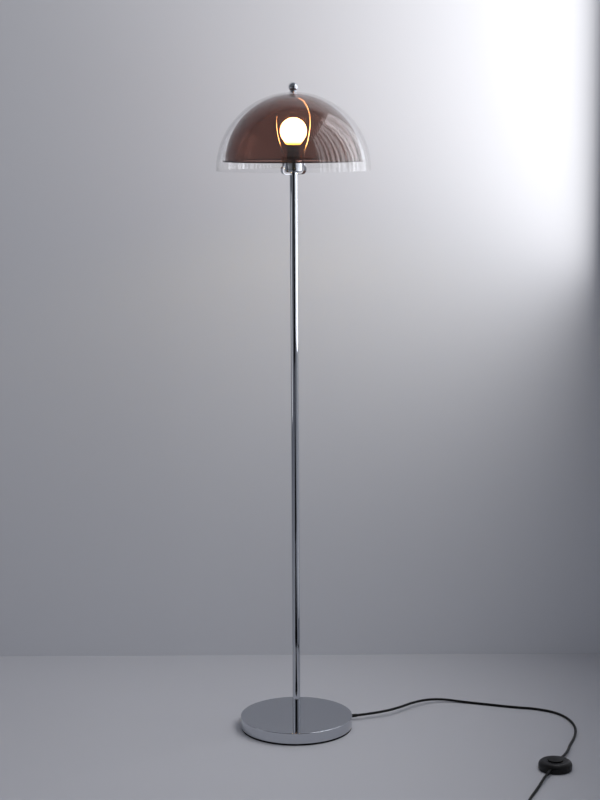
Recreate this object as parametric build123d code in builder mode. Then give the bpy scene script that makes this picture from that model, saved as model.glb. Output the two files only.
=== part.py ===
from build123d import *
import os
from math import cos, pi, radians, sin, sqrt, tan

# Mushroom floor lamp: a chrome base and pole, a lampholder with a harp, and two acrylic domes
# clamped at the top of the harp by a ball finial. Millimetres, +Z up. The origin is the centre of
# the base's underside, on the floor, and the front of the lamp faces -Y.

os.makedirs("parts", exist_ok=True)

# ---------------------------------------------------------------- driving dimensions

fit = 0.05  # radial clearance of pressed, threaded and riveted fits
slip = 0.3  # clearance between pieces that move past each other
seat_gap = 0.05  # between faces that turn on each other

base_d = 264
base_h = 30  # floor to the top of the chrome cover
pad_t = 5
pad_inset = 1.5
cover_wall = 1.2
cover_edge = 1.6
weight_gap = 0.8  # between the weight and the cover's skirt
weight_t = 13.5
hub_d = 80
well_d = 56
web_t = 6

thread_d = 10  # the hollow threaded tubes at both ends of the pole
tube_bore = 7.4
nut_flats = 17
base_nut_t = 5
base_washer_d = 30
base_washer_t = 1.5
stud_proud = 0.8  # of the lower tube past its nut

pole_d = 18
pole_wall = 1.2
pole_length = 1272
foot_insert_length = 20
top_insert_length = 16

cord_d = 6
floor_gap = 0.1  # between a cord and the floor
boot_bearing = 18  # direction in which the cord leaves the base, from +X
boot_z = 11
boot_d = 9.2
boot_tip_d = 7.4
boot_length = 20
boot_flange_d = 11.2
boot_flange_t = 1.2
groove_w = 8
groove_h = 10.5
notch_w = 13

harp_turn = 30  # the harp's plane, from the XZ plane
saddle_w = 10
saddle_eye_d = 18
saddle_t = 1.5
saddle_half = 30.6  # pole axis to the outer face of an arm
saddle_corner = 9
saddle_lean_z = 14  # above the pole, where the arms start to lean in
tongue_z = 18
tongue_top = 28
tongue_w = 2.6
tongue_gap = 0.15  # between a tongue and the flat on its wire

wire_d = 4
leg_half = 26  # pole axis to the wire in the straight legs
leg_end = 22
leg_flat_top = 33
leg_top = 45
bow_half = 45
bow_low = 84
crown_drop = 32.4  # from the wire at the crown down to the shoulders
crown_half = 23
harp_rise = 172.4  # pole top to the wire's centre at the crown
crown_radius = 32
shoulder_radius = 66
bow_radius = 155
leg_radius = 25
eye_d = 13
eye_t = 3

ferrule_d = 6.2
ferrule_length = 14
ferrule_z = 20

stud_shank_d = 5
stud_head_d = 8
stud_head_t = 1.2
stud_flange_d = 16
stud_flange_t = 1.2
stud_thread_d = 6.35

gasket_d = 18
gasket_t = 1
spacer_d = 16
spacer_t = 1
dome_hole_d = 7
acrylic_t = 3
outer_dome_d = 350
dome_gap = 12  # between the inner dome's flange and the outer dome
flange_w = 5.5
flange_rise = 4  # the flange's underside above the centre of the inner dome's sphere
rim_round = 0.8

finial_ball_d = 21
finial_collar_d = 18
finial_collar_t = 1
finial_neck_d = 10.8
finial_bore_depth = 10
finial_ball_rise = 11  # seat to the ball's centre

saddle_nut_t = 2.5
holder_nut_flats = 14
holder_washer_d = 18
holder_washer_t = 1
cup_nut_t = 3
nipple_length = 26
nipple_proud = 1.2  # past the nut in the cup

cup_d = 41
cup_h = 30
cup_wall = 0.8
cup_corner = 5
holder_bore_d = 28.2
holder_collar_d = 30.8
holder_rise = 14.5  # of the moulding's collar above the cup's rim
holder_floor_t = 4
wiring_h = 11.2
foot_ring_d = 30.6
foot_ring_bore = 26
shelf_h = 5.2
holder_recess = 0.5  # the moulding's shoulder below the cup's rim

terminal_x = 9.5
screw_d = 3
screw_head_d = 5.5
screw_head_t = 2
screw_bite = 3
core_d = 2
core_x = 1.5
core_bend = 3

thread_pitch = 3.6  # knuckle thread of the bulb and its shell
thread_turns = 5
thread_mid_r = 12.65
thread_depth = 0.45
thread_play = 0.25
shell_t = 0.4
contact_w = 6
contact_t = 0.5
contact_half = 7

bulb_tip_z = 24.3  # pole top to the bulb's centre contact
bulb_tip_d = 9.6
bulb_tip_t = 1.2
insulator_h = 3.5
cap_h = 22
bulb_body_h = 17
bulb_neck_d = 28.4
bulb_shoulder_d = 31.2
bulb_wall = 1.4
globe_d = 60
globe_rise = 97.2  # pole top to the globe's centre
globe_t = 1.2
led_board_t = 1.5
led_count = 8
led_ring_r = 9
led_size = 3
led_h = 0.8

switch_x = 573.5
switch_y = -287
switch_bearing = 245  # direction in which the cord leaves the switch, from +X
switch_d = 75
switch_pad_t = 1
switch_pad_d = 66
switch_pad_bore = 40
switch_split_z = 9
switch_top_z = 21
switch_wall = 2.4
switch_floor_t = 2.2
switch_crown_d = 54
button_d = 34.6
button_top_z = 25
button_wall = 2.8
button_dish = 1.5
button_flange_d = 39
button_flange_t = 1.4
button_travel = 3
button_post_d = 4.4
boss_ring_r = 29
boss_d = 6
boss_top_z = 17.5
switch_screw_d = 2.4
switch_head_d = 4.8
switch_head_t = 1.4
switch_screw_top = 14
block_size = (28, 16, 10)
plunger_d = 3.6
plunger_h = 1.8
spring_d = 9
spring_wire = 0.9
spring_turns = 4
switch_boot_d = 9.2
switch_boot_tip_d = 7.2
switch_boot_length = 22
switch_neck_d = 8
switch_collar_d = 9.8
switch_collar_gap = 1.1  # to the middle of the curved wall in front of it
switch_collar_t = 1.5

coil_x = 444.5
coil_y = -548
coil_r = 39.5
coil_pitch = 6.5
coil_layer = 6.5
coil_turns_in = 2.25
coil_turns = 4.25
coil_lift = 1  # the tie passes under the coil
tie_t = 0.8
tie_w = 8
tie_play = 0.8

plug_face_w = 35.3
plug_tail_w = 20
plug_thickness = 13.7
plug_length = 36
plug_round = 3
pin_d = 4
pin_length = 19
pin_spacing = 18.6
sleeve_d = 3.8
sleeve_length = 10
pin_core_d = 2.8
plug_boot_d = 9.6
plug_boot_tip_d = 7.2
plug_boot_length = 25

# ---------------------------------------------------------------- levels and helpers

cover_under = base_h - cover_wall
web_under = cover_under - web_t
nut_under = web_under - base_washer_t - base_nut_t
stud_foot = nut_under - stud_proud
thread_r = thread_d / 2
pole_bore_r = pole_d / 2 - pole_wall
pole_top = base_h + pole_length
cord_r = cord_d / 2
floor_z = cord_r + floor_gap

vertical = Axis((0, 0, 0), (0, 0, 1))


def bearing(angle, distance, height=0.0):
    """A point at a plan distance from the pole's axis, in a direction from +X."""
    return (distance * cos(radians(angle)), distance * sin(radians(angle)), height)


def upright(angle):
    """The vertical plane through the pole's axis whose local X points in a direction from +X."""
    a = radians(angle)
    return Plane(origin=(0, 0, 0), x_dir=(cos(a), sin(a), 0), z_dir=(sin(a), -cos(a), 0))


def ring(bore_d, outer_d, low, thickness):
    """A flat washer about the pole's axis."""
    with BuildPart() as piece:
        with BuildSketch(Plane.XY.offset(low)):
            Circle(outer_d / 2)
            Circle(bore_d / 2, mode=Mode.SUBTRACT)
        extrude(amount=thickness)
    return piece


def hex_nut(flats, bore_d, low, thickness):
    """A hexagon nut about the pole's axis."""
    with BuildPart() as piece:
        with BuildSketch(Plane.XY.offset(low)):
            RegularPolygon(flats / 2, 6, major_radius=False)
            Circle(bore_d / 2, mode=Mode.SUBTRACT)
        extrude(amount=thickness)
        chamfer(piece.edges().filter_by(GeomType.LINE).filter_by(Axis.Z), 0.4)
    return piece


def turn_angle(before, corner, after):
    """How far a route turns at a corner, in degrees."""
    return (Vector(*corner) - Vector(*before)).get_angle(Vector(*after) - Vector(*corner))


def route_radii(points):
    """The largest tangent arc for each corner of a route: 0.45 of the shorter run."""
    radii = []
    for before, corner, after in zip(points, points[1:], points[2:]):
        shorter = min((Vector(*corner) - Vector(*before)).length, (Vector(*after) - Vector(*corner)).length)
        radii.append(0.45 * shorter / tan(radians(turn_angle(before, corner, after)) / 2))
    return radii


def cord_tube(points, name):
    """A round cord laid along straight runs joined by tangent arcs."""
    radii = route_radii(points)
    with BuildPart() as tube:
        with BuildLine() as route:
            FilletPolyline(*points, radius=radii)
        with BuildSketch(Plane(origin=points[0], z_dir=Vector(*points[1]) - Vector(*points[0]))):
            Circle(cord_r)
        sweep(path=route.wires()[0])
    length = route.wires()[0].length
    section = pi * cord_r**2 * length
    print(name, "length", round(length, 1), "volume ratio", round(tube.part.volume / section, 4))
    print(name, "radii", [round(r) for r in radii])
    return tube


# ---------------------------------------------------------------- base

with BuildPart() as base_pad:
    Cylinder(base_d / 2 - pad_inset, pad_t, align=(Align.CENTER, Align.CENTER, Align.MIN))
base_pad.part.label = "base_pad"
export_step(base_pad.part, "parts/base_pad.step")

exit_plane = Plane(
    origin=bearing(boot_bearing, base_d / 2, boot_z),
    x_dir=bearing(boot_bearing + 90, 1),
    z_dir=bearing(boot_bearing, 1),
)

with BuildPart() as base_cover:
    with BuildSketch(Plane.XZ):
        with BuildLine():
            Polyline(
                (thread_r + fit, base_h),
                (base_d / 2, base_h),
                (base_d / 2, pad_t),
                (base_d / 2 - cover_wall, pad_t),
                (base_d / 2 - cover_wall, cover_under),
                (thread_r + fit, cover_under),
                close=True,
            )
        make_face()
    revolve(axis=Axis.Z)
    rims = base_cover.edges().filter_by(GeomType.CIRCLE).group_by(Axis.Z)[-1]
    fillet(rims.sort_by(SortBy.RADIUS)[-1], min(cover_edge, 0.95 * (base_h - pad_t)))
    with BuildSketch(exit_plane.offset(-3 * cover_wall)):
        Circle(boot_d / 2 + fit)
    extrude(amount=6 * cover_wall, mode=Mode.SUBTRACT)
base_cover.part.label = "base_cover"
export_step(base_cover.part, "parts/base_cover.step")

weight_r = base_d / 2 - cover_wall - weight_gap
with BuildPart() as base_weight:
    with BuildSketch(Plane.XZ):
        with BuildLine():
            Polyline(
                (thread_r + fit, cover_under),
                (hub_d / 2, cover_under),
                (hub_d / 2, pad_t + weight_t),
                (weight_r, pad_t + weight_t),
                (weight_r, pad_t),
                (well_d / 2, pad_t),
                (well_d / 2, web_under),
                (thread_r + fit, web_under),
                close=True,
            )
        make_face()
    revolve(axis=Axis.Z)
    with BuildSketch(Plane(origin=(0, 0, pad_t), x_dir=bearing(boot_bearing, 1))):
        Rectangle(weight_r + 1, groove_w, align=(Align.MIN, Align.CENTER))
    extrude(amount=groove_h, mode=Mode.SUBTRACT)
    with BuildSketch(Plane(origin=(0, 0, pad_t), x_dir=bearing(boot_bearing, 1))):
        with Locations((weight_r + 1, 0)):
            Rectangle(5 * boot_flange_t, notch_w, align=(Align.MAX, Align.CENTER))
    extrude(amount=weight_t, mode=Mode.SUBTRACT)
base_weight.part.label = "base_weight"
export_step(base_weight.part, "parts/base_weight.step")

base_stud = ring(tube_bore, thread_d, stud_foot, base_h + foot_insert_length - 2 - stud_foot)
base_stud.part.label = "base_stud"
export_step(base_stud.part, "parts/base_stud.step")

base_washer = ring(thread_d + 2 * fit, base_washer_d, web_under - base_washer_t, base_washer_t)
base_washer.part.label = "base_washer"
export_step(base_washer.part, "parts/base_washer.step")

base_nut = hex_nut(nut_flats, thread_d + 2 * fit, nut_under, base_nut_t)
base_nut.part.label = "base_nut"
export_step(base_nut.part, "parts/base_nut.step")

with BuildPart() as base_boot:
    collar_face = base_d / 2 - cover_wall - 3 * fit
    boot_root = base_d / 2 + boot_flange_t
    boot_tip = base_d / 2 + boot_length
    with BuildSketch(exit_plane.offset(collar_face - base_d / 2)):
        Circle(boot_flange_d / 2)
    extrude(amount=-boot_flange_t)
    with BuildSketch(exit_plane.offset(collar_face - base_d / 2)):
        Circle(boot_d / 2)
    extrude(amount=boot_root - collar_face)
    with BuildSketch(exit_plane):
        Circle(boot_flange_d / 2)
    extrude(amount=boot_flange_t)
    with BuildSketch(exit_plane.offset(boot_root - base_d / 2)):
        Circle(boot_d / 2)
    with BuildSketch(exit_plane.offset(boot_length)):
        Circle(boot_tip_d / 2)
    loft()
    with BuildSketch(exit_plane.offset(-2 * boot_length)):
        Circle(cord_r + fit)
    extrude(amount=4 * boot_length, mode=Mode.SUBTRACT)
base_boot.part.label = "base_boot"
export_step(base_boot.part, "parts/base_boot.step")

# ---------------------------------------------------------------- pole

pole = ring(2 * pole_bore_r, pole_d, base_h, pole_length)
pole.part.label = "pole"
export_step(pole.part, "parts/pole.step")

insert_d = 2 * (pole_bore_r - fit)
pole_foot_insert = ring(thread_d + 2 * fit, insert_d, base_h, foot_insert_length)
pole_foot_insert.part.label = "pole_foot_insert"
export_step(pole_foot_insert.part, "parts/pole_foot_insert.step")

pole_top_insert = ring(thread_d + 2 * fit, insert_d, pole_top - top_insert_length, top_insert_length)
pole_top_insert.part.label = "pole_top_insert"
export_step(pole_top_insert.part, "parts/pole_top_insert.step")

# ---------------------------------------------------------------- lampholder

saddle_top = pole_top + saddle_t
washer_low = saddle_top + saddle_nut_t
cup_low = washer_low + holder_washer_t
cup_floor = cup_low + cup_wall
cup_top = cup_low + cup_h
nipple_top = cup_floor + cup_nut_t + nipple_proud
holder_floor_low = cup_floor + wiring_h
holder_floor = holder_floor_low + holder_floor_t

top_nipple = ring(tube_bore, thread_d, nipple_top - nipple_length, nipple_length)
top_nipple.part.label = "top_nipple"
export_step(top_nipple.part, "parts/top_nipple.step")

saddle_nut = hex_nut(holder_nut_flats, thread_d + 2 * fit, saddle_top, saddle_nut_t)
saddle_nut.part.label = "saddle_nut"
export_step(saddle_nut.part, "parts/saddle_nut.step")

holder_washer = ring(thread_d + 2 * fit, holder_washer_d, washer_low, holder_washer_t)
holder_washer.part.label = "holder_washer"
export_step(holder_washer.part, "parts/holder_washer.step")

cup_nut = hex_nut(holder_nut_flats, thread_d + 2 * fit, cup_floor, cup_nut_t)
cup_nut.part.label = "cup_nut"
export_step(cup_nut.part, "parts/cup_nut.step")

with BuildPart() as holder_cup:
    with BuildSketch(Plane.XZ):
        with BuildLine():
            l1 = Line((thread_r + fit, cup_low), (cup_d / 2 - cup_corner, cup_low))
            l2 = TangentArc(l1 @ 1, (cup_d / 2, cup_low + cup_corner), tangent=(1, 0))
            l3 = Line(l2 @ 1, (cup_d / 2, cup_top))
            l4 = Line(l3 @ 1, (cup_d / 2 - cup_wall, cup_top))
            l5 = Line(l4 @ 1, (cup_d / 2 - cup_wall, cup_low + cup_corner))
            l6 = TangentArc(l5 @ 1, (cup_d / 2 - cup_corner, cup_floor), tangent=(0, -1))
            l7 = Line(l6 @ 1, (thread_r + fit, cup_floor))
            Line(l7 @ 1, l1 @ 0)
        make_face()
    revolve(axis=Axis.Z)
holder_cup.part.label = "holder_cup"
export_step(holder_cup.part, "parts/holder_cup.step")

holder_r = cup_d / 2 - cup_wall - fit
with BuildPart() as holder_body:
    with BuildSketch(Plane.XZ):
        with BuildLine():
            Polyline(
                (foot_ring_bore / 2, cup_floor),
                (foot_ring_d / 2, cup_floor),
                (foot_ring_d / 2, cup_floor + shelf_h),
                (holder_r, cup_floor + shelf_h),
                (holder_r, cup_top - holder_recess),
                (holder_collar_d / 2, cup_top - holder_recess),
                (holder_collar_d / 2, cup_top + holder_rise),
                (holder_bore_d / 2, cup_top + holder_rise),
                (holder_bore_d / 2, holder_floor),
                (0, holder_floor),
                (0, holder_floor_low),
                (foot_ring_bore / 2, holder_floor_low),
                close=True,
            )
        make_face()
    revolve(axis=Axis.Z)
    with BuildSketch(Plane.XY.offset(holder_floor_low)):
        with Locations((-terminal_x, 0), (terminal_x, 0)):
            Circle(screw_d / 2 + fit)
    extrude(amount=screw_bite, mode=Mode.SUBTRACT)
holder_body.part.label = "holder_body"
export_step(holder_body.part, "parts/holder_body.step")

core_z = nipple_top + core_bend + core_d / 2
screw_neck_low = core_z - core_d / 2 - 0.6
with BuildPart() as terminal_screws:
    with BuildSketch(Plane.XY.offset(screw_neck_low)):
        with Locations((-terminal_x, 0), (terminal_x, 0)):
            Circle(screw_d / 2)
    extrude(amount=holder_floor_low + screw_bite - 0.2 - screw_neck_low)
    with BuildSketch(Plane.XY.offset(screw_neck_low - screw_head_t)):
        with Locations((-terminal_x, 0), (terminal_x, 0)):
            Circle(screw_head_d / 2)
    extrude(amount=screw_head_t)
terminal_screws.part.label = "terminal_screws"
export_step(terminal_screws.part, "parts/terminal_screws.step")

with BuildPart() as lead_cores:
    for side in (-1, 1):
        core_start = (side * core_x, 0, nipple_top)
        core_corner = (side * core_x, 0, core_z)
        core_end = (side * (terminal_x - screw_d / 2 - fit), 0, core_z)
        with BuildLine() as core_route:
            FilletPolyline(core_start, core_corner, core_end, radius=core_bend)
        with BuildSketch(Plane(origin=core_start, z_dir=(0, 0, 1))):
            Circle(core_d / 2)
        sweep(path=core_route.wires()[0])
lead_cores.part.label = "lead_cores"
export_step(lead_cores.part, "parts/lead_cores.step")


def knuckle(radius, low, inwards=False):
    """The wavy side of a knuckle thread, as an open run of arcs that starts and ends at a radius."""
    half = thread_pitch / 2
    levels = [low + half * n for n in range(2 * thread_turns + 1)]
    bulges = [thread_depth * (-1) ** n for n in range(2 * thread_turns)]
    if inwards:
        levels = levels[::-1]
        bulges = bulges[::-1]
    for start, end, bulge in zip(levels, levels[1:], bulges):
        ThreePointArc((radius, start), (radius + bulge, (start + end) / 2), (radius, end))


thread_h = thread_pitch * thread_turns
cap_low = pole_top + bulb_tip_z + bulb_tip_t + insulator_h - 1.5
cap_top = cap_low + cap_h
thread_low = cap_top - 1.5 - thread_h

with BuildPart() as screw_shell:
    with BuildSketch(Plane.XZ):
        shell_in = thread_mid_r + thread_play
        shell_out = shell_in + shell_t
        with BuildLine():
            knuckle(shell_out, thread_low)
            Line((shell_out, thread_low + thread_h), (shell_in, thread_low + thread_h))
            knuckle(shell_in, thread_low, inwards=True)
            Line((shell_in, thread_low), (shell_in, holder_floor + shell_t))
            Line((shell_in, holder_floor + shell_t), (contact_half + 2, holder_floor + shell_t))
            Line((contact_half + 2, holder_floor + shell_t), (contact_half + 2, holder_floor))
            Line((contact_half + 2, holder_floor), (shell_out, holder_floor))
            Line((shell_out, holder_floor), (shell_out, thread_low))
        make_face()
    revolve(axis=Axis.Z)
screw_shell.part.label = "screw_shell"
export_step(screw_shell.part, "parts/screw_shell.step")

contact_rise = pole_top + bulb_tip_z - holder_floor - seat_gap
with BuildPart() as centre_contact:
    with BuildSketch(Plane.XZ):
        with BuildLine():
            Polyline(
                (-contact_half, holder_floor),
                (contact_half / 3, holder_floor),
                (contact_half / 3, holder_floor + contact_t),
                (-contact_half + 2 * contact_t, holder_floor + contact_t),
                (-contact_half / 3, holder_floor + contact_rise - contact_t),
                (contact_half / 3, holder_floor + contact_rise - contact_t),
                (contact_half / 3, holder_floor + contact_rise),
                (-contact_half / 3 - contact_t / 2, holder_floor + contact_rise),
                (-contact_half, holder_floor + contact_t),
                close=True,
            )
        make_face()
    extrude(amount=contact_w / 2, both=True)
centre_contact.part.label = "centre_contact"
export_step(centre_contact.part, "parts/centre_contact.step")

# ---------------------------------------------------------------- bulb

tip_low = pole_top + bulb_tip_z
tip_top = tip_low + bulb_tip_t
with BuildPart() as bulb_tip:
    with BuildSketch(Plane.XY.offset(tip_low)):
        Circle(bulb_tip_d / 2)
    extrude(amount=bulb_tip_t)
    fillet(bulb_tip.edges().group_by(Axis.Z)[0], 0.45 * bulb_tip_t)
bulb_tip.part.label = "bulb_tip"
export_step(bulb_tip.part, "parts/bulb_tip.step")

cap_foot_r = thread_mid_r - 3.2
with BuildPart() as bulb_insulator:
    with BuildSketch(Plane.XZ):
        with BuildLine():
            Polyline(
                (0, tip_top),
                (bulb_tip_d / 2 + 0.6, tip_top),
                (cap_foot_r - fit, cap_low),
                (cap_foot_r - fit, tip_top + insulator_h),
                (0, tip_top + insulator_h),
                close=True,
            )
        make_face()
    revolve(axis=Axis.Z)
bulb_insulator.part.label = "bulb_insulator"
export_step(bulb_insulator.part, "parts/bulb_insulator.step")

with BuildPart() as bulb_cap:
    with BuildSketch(Plane.XZ):
        cap_in = thread_mid_r - shell_t
        with BuildLine():
            knuckle(thread_mid_r, thread_low)
            Line((thread_mid_r, thread_low + thread_h), (bulb_neck_d / 2 - 0.8, cap_top))
            Line((bulb_neck_d / 2 - 0.8, cap_top), (cap_in, cap_top))
            Line((cap_in, cap_top), (cap_in, thread_low + thread_h))
            knuckle(cap_in, thread_low, inwards=True)
            Line((cap_in, thread_low), (cap_foot_r, cap_low + shell_t))
            Line((cap_foot_r, cap_low + shell_t), (cap_foot_r, cap_low))
            Line((cap_foot_r, cap_low), (thread_mid_r, thread_low))
        make_face()
    revolve(axis=Axis.Z)
bulb_cap.part.label = "bulb_cap"
export_step(bulb_cap.part, "parts/bulb_cap.step")

shoulder_z = cap_top + bulb_body_h
spigot_r = cap_in - thread_depth - fit
board_z = shoulder_z - 2.5
with BuildPart() as bulb_body:
    with BuildSketch(Plane.XZ):
        with BuildLine():
            Polyline(
                (spigot_r, cap_top - 6),
                (spigot_r, cap_top),
                (bulb_neck_d / 2, cap_top),
                (bulb_shoulder_d / 2, shoulder_z),
                (bulb_shoulder_d / 2 - bulb_wall, shoulder_z),
                (bulb_shoulder_d / 2 - bulb_wall, board_z - led_board_t),
                (bulb_shoulder_d / 2 - bulb_wall - 1.5, board_z - led_board_t),
                (spigot_r - bulb_wall, cap_top + 2),
                (spigot_r - bulb_wall, cap_top - 6),
                close=True,
            )
        make_face()
    revolve(axis=Axis.Z)
bulb_body.part.label = "bulb_body"
export_step(bulb_body.part, "parts/bulb_body.step")

with BuildPart() as led_board:
    with BuildSketch(Plane.XY.offset(board_z - led_board_t)):
        Circle(bulb_shoulder_d / 2 - bulb_wall - fit)
    extrude(amount=led_board_t)
    with BuildSketch(Plane.XY.offset(board_z)):
        with PolarLocations(led_ring_r, led_count):
            Rectangle(led_size, led_size)
    extrude(amount=led_h)
led_board.part.label = "led_board"
export_step(led_board.part, "parts/led_board.step")

globe_z = pole_top + globe_rise
globe_r = globe_d / 2
neck_angle = radians(58)  # of the line from the globe's neck, measured from the horizontal


def globe_outline(radius, neck_r):
    """Half of the globe's outline: a cone from the neck, tangent to the sphere above it."""
    touch = (radius * sin(neck_angle), globe_z - radius * cos(neck_angle))
    side = Line((neck_r, shoulder_z), touch)
    mid = (radius, globe_z)
    low = ThreePointArc(side @ 1, (radius * cos(radians(16)), globe_z - radius * sin(radians(16))), mid)
    half_way = (radius * cos(radians(45)), globe_z + radius * sin(radians(45)))
    return ThreePointArc(low @ 1, half_way, (0, globe_z + radius))


with BuildPart() as bulb_globe:
    with BuildSketch(Plane.XZ):
        with BuildLine():
            globe_outline(globe_r, bulb_shoulder_d / 2)
            Line((0, globe_z + globe_r), (0, globe_z + globe_r - globe_t))
            globe_outline(globe_r - globe_t, bulb_shoulder_d / 2 - globe_t)
            Line((bulb_shoulder_d / 2 - globe_t, shoulder_z), (bulb_shoulder_d / 2, shoulder_z))
        make_face()
    revolve(axis=Axis.Z)
bulb_globe.part.label = "bulb_globe"
export_step(bulb_globe.part, "parts/bulb_globe.step")

# ---------------------------------------------------------------- harp

harp_plane = upright(harp_turn)
arm_centre = saddle_half - saddle_t / 2
tongue_x = leg_half + tongue_gap + saddle_t / 2

with BuildPart() as harp_saddle:
    with BuildSketch(harp_plane):
        with BuildLine():
            FilletPolyline(
                (-tongue_x, pole_top + tongue_z + saddle_t / 2),
                (-tongue_x, pole_top + tongue_z),
                (-arm_centre, pole_top + saddle_lean_z),
                (-arm_centre, pole_top + saddle_t / 2),
                (arm_centre, pole_top + saddle_t / 2),
                (arm_centre, pole_top + saddle_lean_z),
                (tongue_x, pole_top + tongue_z),
                (tongue_x, pole_top + tongue_z + saddle_t / 2),
                radius=[saddle_t, saddle_t, saddle_corner, saddle_corner, saddle_t, saddle_t],
            )
            offset(amount=saddle_t / 2, kind=Kind.TANGENT)
        make_face()
    extrude(amount=saddle_w / 2, both=True)
    with BuildSketch(harp_plane):
        for side in (-1, 1):
            with Locations((side * tongue_x, pole_top + tongue_z)):
                Rectangle(saddle_t, tongue_top - tongue_z, align=(Align.CENTER, Align.MIN))
    extrude(amount=tongue_w / 2, both=True)
    with BuildSketch(Plane.XY.offset(pole_top)):
        Circle(saddle_eye_d / 2)
    extrude(amount=saddle_t)
    with BuildSketch(Plane.XY.offset(pole_top - 1)):
        Circle(thread_r + fit)
    extrude(amount=saddle_t + 2, mode=Mode.SUBTRACT)
harp_saddle.part.label = "harp_saddle"
export_step(harp_saddle.part, "parts/harp_saddle.step")

crown_z = pole_top + harp_rise
bow_shoulder = crown_z - crown_drop
eye_low = crown_z - eye_t / 2
eye_top = eye_low + eye_t
with BuildPart() as harp_wire:
    with BuildLine(harp_plane) as bow:
        FilletPolyline(
            (-leg_half, pole_top + leg_end),
            (-leg_half, pole_top + leg_top),
            (-bow_half, pole_top + bow_low),
            (-bow_half, bow_shoulder),
            (-crown_half, crown_z),
            (crown_half, crown_z),
            (bow_half, bow_shoulder),
            (bow_half, pole_top + bow_low),
            (leg_half, pole_top + leg_top),
            (leg_half, pole_top + leg_end),
            radius=[
                leg_radius,
                bow_radius,
                shoulder_radius,
                crown_radius,
                crown_radius,
                shoulder_radius,
                bow_radius,
                leg_radius,
            ],
        )
    with BuildSketch(Plane(origin=bearing(harp_turn, -leg_half, pole_top + leg_end), z_dir=(0, 0, 1))):
        Circle(wire_d / 2)
    sweep(path=bow.wires()[0])
    with BuildSketch(harp_plane):
        for side in (-1, 1):
            with Locations((side * (leg_half + wire_d / 2), pole_top + leg_end - 1)):
                Rectangle(wire_d, leg_flat_top - leg_end + 1, align=(Align.CENTER, Align.MIN))
    extrude(amount=wire_d, both=True, mode=Mode.SUBTRACT)
    with BuildSketch(Plane.XY.offset(eye_low)):
        Circle(eye_d / 2)
    extrude(amount=eye_t)
    with BuildSketch(Plane.XY.offset(eye_low - wire_d)):
        Circle(stud_shank_d / 2 + fit)
    extrude(amount=eye_t + 2 * wire_d, mode=Mode.SUBTRACT)
    with BuildSketch(Plane.XY.offset(eye_top)):
        Circle(eye_d)
    extrude(amount=wire_d, mode=Mode.SUBTRACT)
    with BuildSketch(Plane.XY.offset(eye_low)):
        Circle(stud_head_d / 2 + slip)
    extrude(amount=-wire_d, mode=Mode.SUBTRACT)
harp_wire.part.label = "harp_wire"
export_step(harp_wire.part, "parts/harp_wire.step")

for side, name in ((-1, "left_ferrule"), (1, "right_ferrule")):
    ferrule_foot = bearing(harp_turn, side * leg_half, pole_top + ferrule_z)
    with BuildPart() as ferrule:
        with BuildSketch(Plane(origin=ferrule_foot, z_dir=(0, 0, 1))):
            Circle(ferrule_d / 2)
            Circle(wire_d / 2 + slip, mode=Mode.SUBTRACT)
        extrude(amount=ferrule_length)
        mouths = ferrule.edges().filter_by(GeomType.CIRCLE).group_by(SortBy.RADIUS)[-1]
        fillet(mouths, 0.3)
    ferrule.part.label = name
    export_step(ferrule.part, f"parts/{name}.step")

flange_low = eye_top + 2 * seat_gap
flange_top = flange_low + stud_flange_t
gasket_top = flange_top + gasket_t

# ---------------------------------------------------------------- domes

outer_r = outer_dome_d / 2
outer_in = outer_r - acrylic_t
flange_r = outer_in - dome_gap
inner_dome_r = flange_r - flange_w
inner_r = inner_dome_r - acrylic_t
inner_c = gasket_top + seat_gap - sqrt(inner_r**2 - (gasket_d / 2) ** 2)
flange_z = inner_c + flange_rise
hole_r = dome_hole_d / 2
spacer_low = inner_c + sqrt(inner_dome_r**2 - hole_r**2) + seat_gap
spacer_top = spacer_low + spacer_t
outer_c = spacer_top + seat_gap - sqrt(outer_in**2 - (spacer_d / 2) ** 2)
finial_seat = outer_c + sqrt(outer_r**2 - hole_r**2) + seat_gap


def crown_arc(radius, centre, low, upwards):
    """The arc of a dome's section from its rim level to the hole at its crown."""
    rim = (sqrt(radius**2 - (low - centre) ** 2), low)
    mid = (radius * cos(radians(48)), centre + radius * sin(radians(48)))
    crown = (hole_r, centre + sqrt(radius**2 - hole_r**2))
    if upwards:
        return ThreePointArc(rim, mid, crown)
    return ThreePointArc(crown, mid, rim)


with BuildPart() as inner_dome:
    with BuildSketch(Plane.XZ):
        with BuildLine():
            outside = crown_arc(inner_dome_r, inner_c, flange_z + acrylic_t, upwards=True)
            inside = crown_arc(inner_r, inner_c, flange_z, upwards=False)
            Line(outside @ 1, inside @ 0)
            Polyline(inside @ 1, (flange_r, flange_z), (flange_r, flange_z + acrylic_t), outside @ 0)
        make_face()
    revolve(axis=Axis.Z)
    brim = inner_dome.edges().filter_by(GeomType.CIRCLE).group_by(SortBy.RADIUS)[-1]
    fillet(brim, min(rim_round, 0.4 * acrylic_t))
inner_dome.part.label = "inner_dome"
export_step(inner_dome.part, "parts/inner_dome.step")

with BuildPart() as outer_dome:
    with BuildSketch(Plane.XZ):
        with BuildLine():
            outside = crown_arc(outer_r, outer_c, outer_c, upwards=True)
            inside = crown_arc(outer_in, outer_c, outer_c, upwards=False)
            Line(outside @ 1, inside @ 0)
            Line(inside @ 1, outside @ 0)
        make_face()
    revolve(axis=Axis.Z)
    brim = outer_dome.edges().filter_by(GeomType.CIRCLE).group_by(Axis.Z)[0]
    fillet(brim, min(rim_round, 0.4 * acrylic_t))
outer_dome.part.label = "outer_dome"
export_step(outer_dome.part, "parts/outer_dome.step")

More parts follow.
